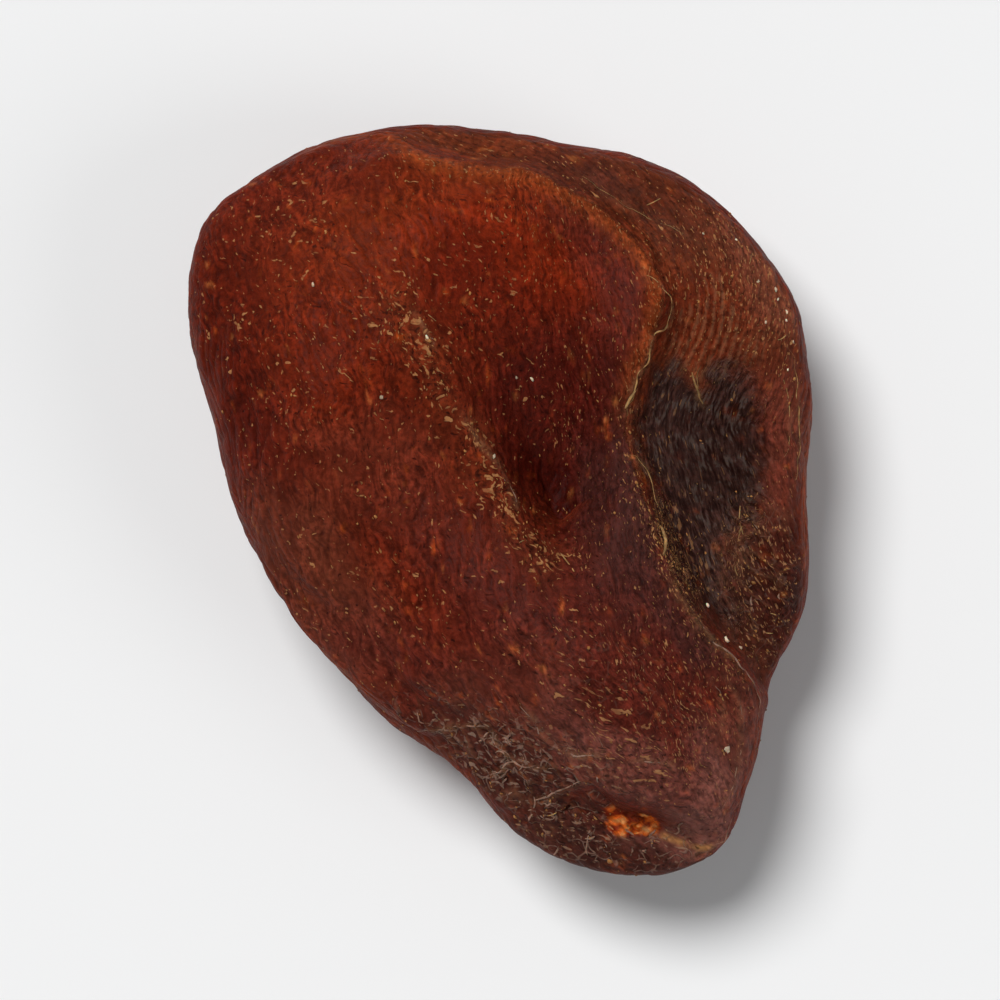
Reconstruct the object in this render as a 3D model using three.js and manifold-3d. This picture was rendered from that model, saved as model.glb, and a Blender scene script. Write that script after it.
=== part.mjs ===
// A whole dried apricot, pitted and lying on its flattened underside.
//
// Skin and flesh have dried into one body, so the part is one mesh. Its upper face is two masses. The front
// one is a thick ring round the sunken middle, where the stone was squeezed out. The back one shows past the
// front one's edge and sinks into a long hollow. Underneath run the fruit's seam and the folds that meet it.
//
// Millimetres, +Z up, +Y towards the broad end and away from the stalk. The origin is at the middle of the
// fruit's box from above, on the surface that it rests on.

import * as THREE from "three";
import { mergeVertices } from "three/addons/utils/BufferGeometryUtils.js";
import Module from "manifold-3d";

// ---- Driving dimensions ----
const LENGTH = 41.5; // along Y, the fruit's longest way
const WIDTH = 34.5; // along X
const RIM_HEIGHT = 6.6; // where the fruit is widest, above the surface that it rests on
const FRONT_HEIGHT = 12.2; // the front mass, before its domes and hollows
const BACK_HEIGHT = 11.3; // the back mass, likewise
const PRESS = 0.5; // how far its own weight has flattened the belly
const EDGE_GROOVE = 0.7; // how deep the back mass dips where it meets the front mass's edge
const LIP_DROP = 1.6; // how much lower the lip at the stalk end lies than the lobe above it
const SKIN_DETAIL = 23; // splits of each side of the icosahedron that the skin is laid on
const POLE_CROWDING = 0.13; // share by which the skin's points are drawn in towards the middle of each face

// The outline from above, anticlockwise from the right-hand side.
const OUTLINE = [
  [17.0, 1.0], [17.2, 6.2], [15.9, 11.6], [12.4, 15.9], [8.4, 18.4], [2.6, 19.8], [-5.0, 20.6], [-11.6, 18.8],
  [-16.0, 15.5], [-17.2, 10.6], [-16.2, 5.0], [-14.2, -1.8], [-10.8, -7.3], [-5.9, -12.3], [-2.5, -14.6],
  [-0.4, -17.1], [3.2, -19.6], [8.6, -20.6], [12.2, -19.1], [13.9, -14.9], [14.9, -9.9], [16.9, -5.2],
];

// ---- Small maths ----
const TAU = 2 * Math.PI;
const clamp = (v, low, high) => Math.min(high, Math.max(low, v));
const mix = (a, b, share) => a + (b - a) * share;
const bell = (v) => Math.exp(-v * v);

function smoothstep(low, high, v) {
  const s = clamp((v - low) / (high - low), 0, 1);
  return s * s * (3 - 2 * s);
}

// A number from -1 to 1 that belongs to one corner of the noise's lattice.
function corner(ix, iy, iz) {
  let h = Math.imul(ix, 374761393) ^ Math.imul(iy, 668265263) ^ Math.imul(iz, 1442695041);
  h = Math.imul(h ^ (h >>> 13), 1274126177);
  return ((h ^ (h >>> 16)) >>> 0) / 2147483648 - 1;
}

// Smooth noise from -1 to 1, with about one swing in each unit of length.
function noise(x, y, z) {
  const ix = Math.floor(x);
  const iy = Math.floor(y);
  const iz = Math.floor(z);
  const u = smoothstep(0, 1, x - ix);
  const v = smoothstep(0, 1, y - iy);
  const w = smoothstep(0, 1, z - iz);
  const edge = (dy, dz) => mix(corner(ix, iy + dy, iz + dz), corner(ix + 1, iy + dy, iz + dz), u);
  return mix(mix(edge(0, 0), edge(1, 0), v), mix(edge(0, 1), edge(1, 1), v), w);
}

// ---- Lines and mounds that shape a face ----

// A line on a face, through points [x, y, ...values]. The values change smoothly from point to point.
class Stroke {
  static STEPS = 10; // straight pieces between one point and the next

  constructor(points) {
    const line = new THREE.SplineCurve(points.map(([x, y]) => new THREE.Vector2(x, y)));
    this.line = line.getPoints((points.length - 1) * Stroke.STEPS);
    const values = points.flatMap((point) => point.slice(2));
    const size = values.length / points.length;
    this.values = new THREE.CubicInterpolant(points.map((_, i) => i), values, size, new Float64Array(size));
  }

  // What the line's nearest place gives: distance, the same signed (above zero to the left of the line's
  // run), the way to the left, and the values there.
  nearest(x, y) {
    let found = { distance: Infinity };
    for (let i = 0; i + 1 < this.line.length; i++) {
      const start = this.line[i];
      const runX = this.line[i + 1].x - start.x;
      const runY = this.line[i + 1].y - start.y;
      const along = (x - start.x) * runX + (y - start.y) * runY;
      const share = clamp(along / (runX * runX + runY * runY), 0, 1);
      const offX = x - start.x - share * runX;
      const offY = y - start.y - share * runY;
      const distance = Math.hypot(offX, offY);
      if (distance < found.distance) {
        found = { distance, place: i + share, runX, runY, left: runX * offY - runY * offX >= 0 };
      }
    }
    const run = Math.hypot(found.runX, found.runY);
    return {
      distance: found.distance,
      signed: found.left ? found.distance : -found.distance,
      toLeft: [-found.runY / run, found.runX / run],
      values: Array.from(this.values.evaluate(found.place / Stroke.STEPS)),
    };
  }
}

// A groove or a ridge along a stroke whose values are [depth or height, half width].
function relief(stroke, x, y) {
  const { distance, values } = stroke.nearest(x, y);
  const [size, halfWidth] = values;
  return size * bell(distance / halfWidth);
}

// A round mound: [x, y, radius along, radius across, turn in degrees, height].
function mound([cx, cy, along, across, turn, height], x, y) {
  const a = (turn * Math.PI) / 180;
  const u = ((x - cx) * Math.cos(a) + (y - cy) * Math.sin(a)) / along;
  const v = ((y - cy) * Math.cos(a) - (x - cx) * Math.sin(a)) / across;
  return height * bell(Math.hypot(u, v));
}

const moundsAt = (mounds, x, y) => mounds.reduce((total, m) => total + mound(m, x, y), 0);
const reliefsAt = (strokes, x, y) => strokes.reduce((total, s) => total + relief(s, x, y), 0);

// ---- The outline ----
const outline = new THREE.CatmullRomCurve3(
  OUTLINE.map(([x, y]) => new THREE.Vector3(x, y, 0)),
  true,
  "centripetal",
)
  .getPoints(720)
  .slice(1)
  .map((p) => ({ angle: (Math.atan2(p.y, p.x) + TAU) % TAU, reach: Math.hypot(p.x, p.y) }))
  .sort((a, b) => a.angle - b.angle);

// How far the outline lies from the middle in one direction.
function reach(angle) {
  const a = (angle + TAU) % TAU;
  const next = outline.findIndex((p) => p.angle > a);
  const after = outline[Math.max(next, 0)];
  const before = outline.at(Math.max(next, 0) - 1);
  const gap = (after.angle - before.angle + TAU) % TAU;
  return mix(before.reach, after.reach, ((a - before.angle + TAU) % TAU) / gap);
}

// ---- The upper face ----

// The front mass's edge, from the top left round to the lower right, with the back mass on its left. The
// values are how far its lip leans out over the back mass, and the half width of the drop.
const FRONT_EDGE = new Stroke([
  [-8.2, 22.6, 0.1, 0.8], [-5.0, 19.6, 0.1, 0.8], [-1.7, 18.5, 0.2, 0.7], [1.5, 18.1, 0.3, 0.7],
  [4.2, 16.8, 0.4, 0.7], [7.0, 14.6, 0.5, 0.7], [8.8, 11.8, 0.6, 0.7], [8.5, 9.2, 0.5, 0.8],
  [7.6, 6.8, 0.5, 0.8], [6.9, 4.0, 0.5, 0.8], [7.6, 1.0, 0.6, 0.8], [8.8, -2.4, 0.7, 0.8],
  [10.4, -6.1, 0.8, 0.8], [12.4, -8.5, 0.7, 0.8], [14.4, -10.9, 0.4, 0.8], [18.0, -13.5, 0.2, 0.8],
]);

// Front mass: what rises from it, the sunken middle and the creases.
const FRONT_MOUNDS = [
  [-9.5, 6.0, 12.0, 7.0, 62, 3.4], // left dome
  [5.6, -10.0, 8.0, 5.6, -32, 3.7], // lower lobe
  [-2.4, -5.4, 6.0, 5.0, -40, 1.2], // saddle between them
  [-3.0, 16.0, 7.0, 3.2, -8, 1.1], // top shoulder
  [6.9, 8.6, 4.0, 1.9, 80, 1.0], // head of the ridge between the sunken middle and the hollow
];
const VALLEY = new Stroke([
  [0.6, 14.4, 0.4, 5.0], [1.6, 11.4, 1.4, 4.8], [2.4, 7.6, 2.3, 4.1], [2.9, 4.2, 3.0, 3.3],
  [3.1, 1.2, 3.7, 2.5], [3.2, -0.8, 3.5, 1.9], [3.6, -2.8, 1.5, 1.5], [4.2, -4.8, 0.2, 1.2],
]);
const CREST = new Stroke([
  [-6.0, 12.5, 0.0, 1.2], [-4.4, 9.0, 0.5, 1.1], [-2.2, 4.7, 0.9, 1.0], [-0.3, 1.6, 1.0, 0.9],
  [1.3, -1.0, 0.8, 0.9], [2.6, -3.6, 0.0, 0.9],
]);
const LIP_CREASE = new Stroke([
  [-5.4, -12.4, 0.1, 0.9], [-2.6, -13.9, 0.5, 0.9], [0.2, -15.1, 0.9, 0.9], [3.0, -16.1, 1.3, 0.8],
  [6.0, -16.9, 1.8, 0.8], [8.3, -17.6, 1.9, 0.8], [10.6, -18.4, 1.2, 0.8], [13.0, -18.4, 0.2, 0.8],
]);
const BAND_CREASES = [
  new Stroke([[-6.4, -9.6, 0.1, 0.8], [-2.6, -12.2, 0.5, 0.8], [1.6, -13.9, 0.6, 0.8], [5, -14.5, 0.2, 0.8]]),
  new Stroke([[-0.8, -17.4, 0.4, 0.8], [2.4, -18.0, 0.6, 0.8], [5.6, -18.9, 0.3, 0.8]]),
];

// Back mass: what rises from it, and the long hollow beside the front mass's edge.
const BACK_MOUNDS = [
  [12.2, 11.0, 4.5, 3.2, -45, 1.0], // shoulder above the hollow
  [3.0, 18.6, 6.0, 1.6, -15, 0.5], // top rim
  [15.9, 0.5, 8.0, 1.7, 92, 1.2], // right rim
];
const HOLLOW = new Stroke([
  [9.8, 9.6, 0.2, 2.4], [10.5, 6.6, 1.0, 2.8], [11.2, 3.2, 1.9, 3.3], [11.8, -0.6, 2.2, 3.3],
  [12.6, -4.4, 1.9, 2.8], [14.0, -8.0, 1.1, 1.8],
]);

function frontHeight(x, y) {
  const belowLobe = smoothstep(-0.8, 0.8, -LIP_CREASE.nearest(x, y).signed) * smoothstep(-6, -1, x);
  const risen = moundsAt(FRONT_MOUNDS, x, y) + relief(CREST, x, y);
  const sunk = reliefsAt([VALLEY, LIP_CREASE, ...BAND_CREASES], x, y) + LIP_DROP * belowLobe;
  return FRONT_HEIGHT + risen - sunk;
}

// The signed distance is from the front mass's edge, and the drop is that edge's half width.
function backHeight(x, y, signed, drop) {
  const groove = EDGE_GROOVE * bell((signed - drop) / drop);
  return BACK_HEIGHT + moundsAt(BACK_MOUNDS, x, y) - relief(HOLLOW, x, y) - groove;
}

// ---- The underside ----
const BELLY_MOUNDS = [
  [11.0, 5.0, 6.5, 4.0, 75, 1.8], // hollow under the thin side
  [-5.0, 15.0, 6.0, 3.0, 10, 0.9], // dent under the top shoulder
  [-9.0, -4.0, 5.0, 3.0, -50, 0.8], // dent under the left dome
];
// The values are how deep the fold presses up into the belly, and its half width.
const SEAM = new Stroke([
  [-4.6, 20.6, 1.4, 1.0], [-2.6, 13.6, 1.3, 1.1], [-0.6, 6.4, 0.8, 1.2], [1.4, -0.8, 0.8, 1.2],
  [4.6, -7.6, 1.2, 1.1], [7.2, -13.6, 1.6, 1.0], [8.4, -20.4, 1.6, 1.0],
]);
const BELLY_FOLDS = [
  new Stroke([[2.4, 2.6, 0.3, 0.9], [7.6, 5.4, 0.9, 1.0], [12.4, 9.4, 1.0, 0.9], [16.0, 11.6, 0.6, 0.9]]),
  new Stroke([[4.0, -4.4, 0.3, 0.9], [9.4, -4.0, 0.9, 1.0], [14.0, -4.8, 0.9, 0.9], [17.6, -4.0, 0.5, 0.9]]),
  new Stroke([[-15.0, -1.0, 0.5, 0.9], [-10.4, 1.6, 0.8, 1.0], [-8.8, 7.6, 0.8, 1.0], [-11.4, 14, 0.4, 0.9]]),
  new Stroke([[-9.0, -9.4, 0.5, 0.9], [-4.4, -7.0, 0.8, 1.0], [-2.4, -1.0, 0.5, 1.0], [-4.4, 4.0, 0.2, 0.9]]),
];

const bellyHeight = (x, y) => moundsAt(BELLY_MOUNDS, x, y) + reliefsAt([SEAM, ...BELLY_FOLDS], x, y) - PRESS;

// ---- The skin ----

// Height of the widest line round the fruit.
function rimHeight(angle) {
  const waves = 0.5 * Math.sin(2 * angle + 0.6) + 0.35 * Math.sin(3 * angle - 1.1);
  return RIM_HEIGHT + 0.7 * Math.cos(angle - 2.9) + waves;
}

// How square the fruit's side is in section, where 2 is an ellipse. The side by the hollow is the squarest.
const topFullness = (angle) => 2.5 + 0.9 * smoothstep(-0.2, 1, Math.cos(angle - 0.1));
const BELLY_FULLNESS = 2.1;

// Folds that run round the fruit near its edge, where the skin has shrunk most. A crease lies wherever their
// noise passes through zero.
const FOLD_RUN = 8.5; // how long a fold is
const FOLD_PITCH = 3.2; // from one fold to the next
const FOLD_SWELL = 1.2; // how far the noise's full swing would swell a fold
const CREASE_DEPTH = 0.375; // how far a crease lies below the skin without folds
const CREASE_SOFTNESS = 0.1; // 0 would make each crease a sharp one
const FOLD_WANDER = 0.6; // in pitches
const WANDER_SIZE = 7.2;
const DENT_SIZE = 3.6;
const DENT_DEPTH = 0.22;
const OUTLINE_CALM = 0.5; // share of all this that is left out on the outline itself

// How far the skin swells outwards at a point. Spread is 0 at the middle of a face and 1 on the outline.
function swelling({ x, y, z }, angle, spread) {
  const runs = LENGTH / 2 / FOLD_RUN;
  const wander = FOLD_WANDER * noise(x / WANDER_SIZE, y / WANDER_SIZE, z / WANDER_SIZE + 7);
  const across = (Math.hypot(x, y) - z) / FOLD_PITCH / Math.SQRT2;
  const swing = noise(runs * Math.cos(angle), runs * Math.sin(angle), across + wander);
  const fold = FOLD_SWELL * Math.hypot(swing, CREASE_SOFTNESS) - CREASE_DEPTH;
  const dent = DENT_DEPTH * noise(x / DENT_SIZE, y / DENT_SIZE, z / DENT_SIZE);
  return (fold + dent) * smoothstep(0.3, 0.9, spread) * (1 - OUTLINE_CALM * smoothstep(0.9, 1, spread));
}

const FACE_SLANT = 1.4; // how soon the skin's swelling turns from straight out, on the outline, to up or down

// The point of the skin that lies in one direction of the unit sphere.
function skinPoint(direction) {
  const angle = Math.atan2(direction.y, direction.x);
  const fromPole = Math.acos(Math.abs(clamp(direction.z, -1, 1)));
  const spread = Math.sin(fromPole - POLE_CROWDING * Math.sin(2 * fromPole));
  const x = spread * reach(angle) * Math.cos(angle);
  const y = spread * reach(angle) * Math.sin(angle);
  const upper = direction.z >= 0;
  const full = upper ? topFullness(angle) : BELLY_FULLNESS;
  const rise = Math.pow(Math.max(0, 1 - Math.pow(spread, full)), 1 / full);
  const rim = rimHeight(angle);
  const point = new THREE.Vector3(x, y, mix(rim, bellyHeight(x, y), rise));
  if (upper) {
    const edge = FRONT_EDGE.nearest(x, y);
    const [lean, drop] = edge.values;
    const back = smoothstep(-drop, drop, edge.signed);
    const out = lean * rise * bell((edge.signed + 0.5 * drop) / (1.3 * drop));
    point.z = mix(rim, mix(frontHeight(x, y), backHeight(x, y, edge.signed, drop), back), rise);
    point.x += out * edge.toLeft[0];
    point.y += out * edge.toLeft[1];
  }
  const slant = (upper ? FACE_SLANT : -FACE_SLANT) * (1 - spread);
  const outward = new THREE.Vector3(spread * Math.cos(angle), spread * Math.sin(angle), slant).normalize();
  return point.addScaledVector(outward, swelling(point, angle, spread));
}

// ---- Putting the fruit together ----

// A copy with only positions, and its shared vertices merged.
function closed(geometry) {
  const bare = new THREE.BufferGeometry();
  bare.setAttribute("position", geometry.attributes.position);
  bare.setIndex(geometry.index);
  return mergeVertices(bare, 1e-5);
}

function skin() {
  const geometry = closed(new THREE.IcosahedronGeometry(1, SKIN_DETAIL));
  const position = geometry.attributes.position;
  const direction = new THREE.Vector3();
  for (let i = 0; i < position.count; i++) {
    direction.fromBufferAttribute(position, i).normalize();
    const { x, y, z } = skinPoint(direction);
    position.setXYZ(i, x, y, z);
  }
  geometry.computeBoundingBox();
  const middle = geometry.boundingBox.getCenter(new THREE.Vector3());
  const size = geometry.boundingBox.getSize(new THREE.Vector3());
  return geometry.translate(-middle.x, -middle.y, 0).scale(WIDTH / size.x, LENGTH / size.y, 1);
}

function toSolid(wasm, geometry) {
  return new wasm.Manifold(
    new wasm.Mesh({
      numProp: 3,
      vertProperties: geometry.attributes.position.array,
      triVerts: new Uint32Array(geometry.index.array),
    }),
  );
}

function toGeometry(solid) {
  const { vertProperties, triVerts } = solid.getMesh();
  const geometry = new THREE.BufferGeometry();
  geometry.setAttribute("position", new THREE.BufferAttribute(vertProperties, 3));
  geometry.setIndex(new THREE.BufferAttribute(triVerts, 1));
  geometry.computeVertexNormals();
  return geometry;
}

// Everything below the surface that the fruit rests on is cut away, which leaves the flat spot.
function rested(wasm, geometry) {
  const depth = 8 * PRESS;
  const below = new THREE.BoxGeometry(2 * WIDTH, 2 * LENGTH, depth).translate(0, 0, -depth / 2);
  return toGeometry(toSolid(wasm, geometry).subtract(toSolid(wasm, closed(below))));
}

const wasm = await Module();
wasm.setup();

const driedFlesh = new THREE.MeshStandardMaterial({ color: 0x5a2114, roughness: 0.55, metalness: 0 });
const apricot = new THREE.Mesh(rested(wasm, skin()), driedFlesh);
apricot.name = "apricot";

const fruit = new THREE.Group();
fruit.add(apricot);

export default fruit;
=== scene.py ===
"""A dried apricot lying on a pale floor, seen from above.

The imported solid's surface is copied, rounded, folded, wrinkled along the way the skin dried, and coloured
by region. Dust, sugar grains, fibres and threads are small pieces of their own on that skin.
Lengths are in millimetres until a mesh is made, and the scene is in metres.
"""
import functools
import math

import bpy
import numpy as np
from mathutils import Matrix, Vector
from mathutils.kdtree import KDTree


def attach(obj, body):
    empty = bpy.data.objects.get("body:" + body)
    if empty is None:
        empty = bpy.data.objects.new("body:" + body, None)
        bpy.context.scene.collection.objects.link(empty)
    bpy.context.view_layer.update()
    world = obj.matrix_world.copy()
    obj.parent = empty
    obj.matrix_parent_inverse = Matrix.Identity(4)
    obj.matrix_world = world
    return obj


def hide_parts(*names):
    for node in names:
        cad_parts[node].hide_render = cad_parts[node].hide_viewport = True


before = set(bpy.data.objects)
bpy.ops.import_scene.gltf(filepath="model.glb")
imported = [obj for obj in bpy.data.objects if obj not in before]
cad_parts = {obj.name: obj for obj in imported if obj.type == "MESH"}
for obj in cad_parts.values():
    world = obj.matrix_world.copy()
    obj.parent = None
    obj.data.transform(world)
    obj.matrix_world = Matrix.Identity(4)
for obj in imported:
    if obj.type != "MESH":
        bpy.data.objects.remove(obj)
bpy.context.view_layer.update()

MM = 0.001
SEED = 20
# No point of the fruit lies lower than the floor
LOWEST = (-np.inf, -np.inf, 0)

# The skin's mesh
WELD = 0.0005
ROUNDING_STEPS = 3
ROUNDING_PULLS = (0.5, -0.53)
SUBDIVISIONS = 3
RELAXING_STEPS = 12
SKIN_TRIANGLES = 192_000

# The wrinkles: how far apart the creases are, how long they run, and how deep they go
FOLD_PITCH, FOLD_RUN, FOLD_DEPTH = 1.4, 1.5, 0.035
WRINKLE_PITCH, WRINKLE_RUN, WRINKLE_DEPTH = 0.55, 0.9, 0.028
CRUMPLE_PITCH, CRUMPLE_RUN, CRUMPLE_DEPTH = 1.2, 0.8, 0.13
ARC_PITCH, ARC_DEPTH = 0.46, 0.03
SWELL_SIZE, SWELL_DEPTH = 2.2, 0.045
CREASE_WIDTH, CRUMPLE_WIDTH = 0.35, 0.3
# How many packets of waves lie over each place, and the area in square mm that they cover
PACKETS_OVER_EACH_OTHER, SKIN_AREA = 6, 3000
# How far the wrinkles stray from their way, in radians, and over what length
GRAIN_TURN, GRAIN_TURN_SIZE = 0.75, 2.2
# How much a step up counts against a step out, in the distance that the sides' wrinkles keep to
SIDE_SLOPE = 1.3

# The line that the front mass dried along, in plan. Its wrinkles keep a constant distance from it, and
# the back mass's wrinkles keep one from the front mass's edge.
FRONT_SPINE = [(-1.5, 24), (0.6, 15), (2.2, 8), (3.1, 0.5), (5, -6.5), (9.2, -14), (15.5, -24)]

# The edge of the front mass where it laps over the back one (which lies to the left of the run):
# x, y, how far the lip stands over, how deep the groove under it is
FRONT_EDGE = [
    (-8.2, 22.6, 0, 0), (-5, 19.6, 0, 0), (-1.7, 18.5, 0.05, 0), (1.5, 18.1, 0.1, 0.05),
    (4.2, 16.8, 0.15, 0.1), (7, 14.6, 0.2, 0.15), (8.8, 11.8, 0.2, 0.1), (8.5, 9.2, 0.2, 0.1),
    (7.6, 6.8, 0.2, 0.1), (6.9, 4, 0.2, 0.1), (7.6, 1, 0.25, 0.15), (8.8, -2.4, 0.4, 0.35),
    (10.4, -6.1, 0.5, 0.5), (12.4, -8.5, 0.5, 0.5), (14.4, -10.9, 0.3, 0.4), (18, -13.5, 0, 0),
]
LIP_WIDTH, GROOVE_WIDTH = 0.55, 0.42

# Creases: x, y, depth, width
CREASES = [
    [(1.2, 4, 0, 0.3), (2.4, 1, 0.25, 0.3), (3.2, -1, 0.5, 0.3), (4.3, -0.2, 0.4, 0.25),
     (5.6, 0.6, 0, 0.25)],
    [(-3.4, -13.4, 0, 0.25), (-1.6, -14.4, 0.12, 0.25), (0.2, -15.2, 0.3, 0.3), (1.4, -15.9, 0, 0.25)],
    [(2.9, -17.6, 0, 0.3), (3.6, -17, 0.4, 0.35), (4.5, -16.2, 0.5, 0.35), (5.2, -15.9, 0.5, 0.3),
     (6, -16.5, 0.5, 0.3), (6.8, -17.1, 0.45, 0.25), (8.2, -17.4, 0.3, 0.25), (9.4, -18.2, 0.2, 0.25),
     (11.4, -19.2, 0, 0.25)],
    [(-2.2, -11.9, 0, 0.22), (-0.2, -12.9, 0.12, 0.22), (2.2, -13.5, 0, 0.22)],
]
# The crest of the ridge, which the valley lies to the right of
CREST = [(-5.2, 10.8), (-4.4, 9), (-2.2, 4.7), (-0.3, 1.6), (1.3, -1), (2.6, -3.6)]

# Fine raised lines, with a golden strand along each: x, y, strength
STRANDS = [
    [(7.6, 12.4, 0), (8.6, 11.9, 0.6), (9.2, 11.1, 0.8), (9.3, 10.2, 0.9), (9, 9.5, 1), (8.4, 9, 0.8),
     (8.2, 8.2, 0.8), (8.1, 7.4, 0.9), (7.5, 6.7, 0.7), (7.2, 5.8, 0.9), (6.9, 4.6, 0.3)],
    [(15.9, 8.4, 0.1), (16.3, 6.6, 0.35), (16.4, 4.8, 0.45), (16.4, 2.6, 0.4), (16.2, 0.6, 0.2)],
    [(15.4, 7.4, 0.1), (15.8, 5.6, 0.4), (15.85, 3.8, 0.45), (15.6, 2.2, 0.1)],
    [(11, 7.4, 0.1), (10.8, 6.6, 0.5), (10.9, 5.8, 0.9), (11.15, 5.2, 0.5)],
    [(6.7, 2.4, 0.1), (7.6, 2.2, 0.6), (8.2, 1.4, 0.7), (8.5, 0.4, 0.5), (8.8, -0.8, 0.1)],
    [(3.9, 18.3, 0.1), (5.6, 17, 0.2), (7.9, 15.6, 0.3), (10.2, 14.6, 0.25), (12, 13, 0.1)],
]

# Fine raised lines with a pinkish thread along each, in the crumpled parts: x, y, strength
THREADS = [
    [(9.2, -4.2, 0.2), (10.3, -6, 0.8), (11.6, -7.6, 0.9), (12.8, -8.7, 0.7), (13.9, -10, 0.5),
     (14.3, -12, 0.4), (13.9, -15, 0.5), (13.4, -17.4, 0.7), (12.2, -18.8, 0.6), (10.6, -19.6, 0.4)],
    [(12.2, -9.6, 0.2), (13.1, -11.2, 0.6), (13.2, -13.4, 0.3), (12.9, -15.4, 0.5), (12.2, -17, 0.1)],
    [(11.2, -9.4, 0.1), (12.1, -11, 0.5), (12.2, -12.6, 0.2)],
    [(-4.6, -12.8, 0.2), (-3.3, -12.6, 0.8), (-1.9, -12.4, 1), (-0.6, -12.5, 0.8), (-0.1, -13.4, 0.9),
     (0.7, -14.3, 0.9), (1.8, -14.7, 0.9), (3, -14.6, 0.4)],
    [(-0.9, -14.9, 0.3), (0, -15, 1), (0.6, -14.4, 0.8), (1.6, -14.3, 0.2)],
    [(3.4, -13.2, 0.3), (3.9, -13.9, 0.8), (4.7, -14, 0.9), (5.6, -13.7, 0.6), (5.4, -13, 0.2)],
    [(6.9, -14.3, 0.2), (8, -14.2, 0.9), (9.2, -14.4, 0.7), (9.8, -14.9, 0.2)],
    [(0.4, -16.4, 0.3), (2, -16.6, 0.6), (3.4, -16, 0.7), (4.6, -15.4, 0.3)],
    [(1, -11, 0.2), (1.9, -12, 0.7), (2.4, -13, 0.5), (3.2, -13.4, 0.1)],
    [(-4.8, 10.4, 0.2), (-4.3, 9.6, 0.9), (-3.9, 8.9, 0.8), (-3.5, 8.2, 0.2)],
    [(-2, 4.6, 0.2), (-1.4, 3.6, 0.7), (-0.7, 2.6, 0.9), (-0.1, 1.9, 0.5), (0.5, 0.6, 0.4),
     (0.9, -0.4, 0.6)],
]
THREAD_WIDTH, THREAD_HEIGHT = 0.14, 0.06

# The curled bit of the front edge: centre x and y, half sizes, turn, height
CURL = (8.5, 10.6, 0.8, 1.3, -10, 0.55)

# The torn spot: centre x and y, half sizes, turn, and the thin tear that runs on from it
TORN = (7.5, -17.8, 1.5, 0.8, -16)
TORN_DEPTH, TORN_LUMP, TORN_LUMP_SIZE = 0.2, 0.35, 0.4
TEAR = [(7.9, -18.1), (9.3, -18.6), (10.6, -19.1), (11.6, -19.2)]

# Parts of the top, as soft ovals: centre x and y, half sizes, turn in degrees
LOBE = (7, -10.5, 6, 3.8, -35)
BAND = (1.2, -14.8, 7.6, 2.7, -26)
LIP = (6.5, -19.6, 7, 2.2, -10)
SHOULDER = (11.8, 9.5, 3.6, 3.6, 0)
UPPER_RIM = (13, 13, 6, 3.5, -45)
LOWER_RIGHT = (14.4, -4.4, 2.6, 5, 0)
STEP = (9.8, -2.8, 1.3, 4.6, 22)
HOLLOW_CORE = (12.6, 2.2, 1.9, 3.4, 0)

# How dusty and how crumpled those parts are
DUSTY = [
    (0.38, BAND), (0.48, LOWER_RIGHT), (0.55, STEP), (0.3, UPPER_RIM), (0.1, SHOULDER), (0.35, LOBE),
    (0.25, LIP),
]
CRUMPLED = [(1, BAND), (0.8, LIP), (0.25, LOWER_RIGHT), (0.12, LOBE)]

# Colours of the dried flesh, linear
RUSSET = (0.11, 0.0115, 0.003)
BRICK = (0.136, 0.0165, 0.0035)
EMBER = (0.156, 0.0142, 0.0033)
AMBER = (0.3, 0.06, 0.009)
MAROON = (0.062, 0.0065, 0.0035)
# Painted shade: a darker red for the left rim
LEFT_RIM_SHADE = (0.066, 0.0058, 0.0017)
# Painted shade: a near black red for the valley's pit and beside the right rim
PIT_SHADE = (0.036, 0.0025, 0.0012)
# Purple-brown with a painted pinkish sheen, as on the lobes and the sides
PLUM_SHEEN = (0.086, 0.0135, 0.008)
TAN = (0.098, 0.02, 0.007)
CHARCOAL = (0.031, 0.012, 0.009)
# Near black: painted shade in the groove under the lip, and the darker middle of the hollow
NEAR_BLACK = (0.018, 0.006, 0.004)
ASH = (0.054, 0.0155, 0.0105)
UMBER = (0.042, 0.0125, 0.0075)
DUSK = (0.148, 0.051, 0.0375)
FROST = (0.165, 0.049, 0.026)
MINK = (0.042, 0.013, 0.0104)
CLAY = (0.124, 0.0285, 0.016)
WINE = (0.07, 0.0115, 0.0068)
GOLD = (0.56, 0.27, 0.085)
ORANGE = (0.52, 0.095, 0.01)

# The flesh's material: the spacing of its lines, how many lumps its clouds have a millimetre, how far its
# crinkles bend and how deep its bumps are
STREAK_SPACING, FLAKE_SPACING = 0.2, 0.15
GRAIN_LUMPS, CLOUD_LUMPS, MOTTLE_LUMPS, PLAIN_LUMPS = 3.2, 1.2, 0.6, 0.35
CRINKLE_BEND, BUMP_DEPTH = 1.1, 0.14

# Colours of the marks that it adds, linear
DEEPENING = (0.7, 0.52, 0.55, 1)
# Painted highlights: silvery glints along the streaks of the charred hollow
SILVER_HIGHLIGHT = (0.08, 0.058, 0.048, 1)
# Pale flecks, partly dust and crystals and partly painted glints, gold on bare flesh and pink where crumpled
FLECK_AND_GLINT_GOLD = (0.42, 0.19, 0.072, 1)
FLECK_AND_GLINT_PINK = (0.24, 0.15, 0.11, 1)
POCK_DARK = (0.012, 0.003, 0.002, 1)
THREAD_TAN = (0.26, 0.135, 0.066, 1)
CRINKLE_PALE = (0.26, 0.15, 0.108, 1)

# Looks of the small pieces: material, linear colour, roughness, how much light passes into them
LOOKS = {
    "pale_dust": ("pale_dust", (0.4, 0.18, 0.056), 0.35, 0.3),
    "sugar_grains": ("sugar_grain", (0.84, 0.66, 0.46), 0.3, 0.4),
    "pale_fibres": ("pale_fibre", (0.46, 0.26, 0.1), 0.4, 0.3),
    "pale_threads": ("pale_thread", (0.32, 0.18, 0.125), 0.45, 0.3),
}

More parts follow.
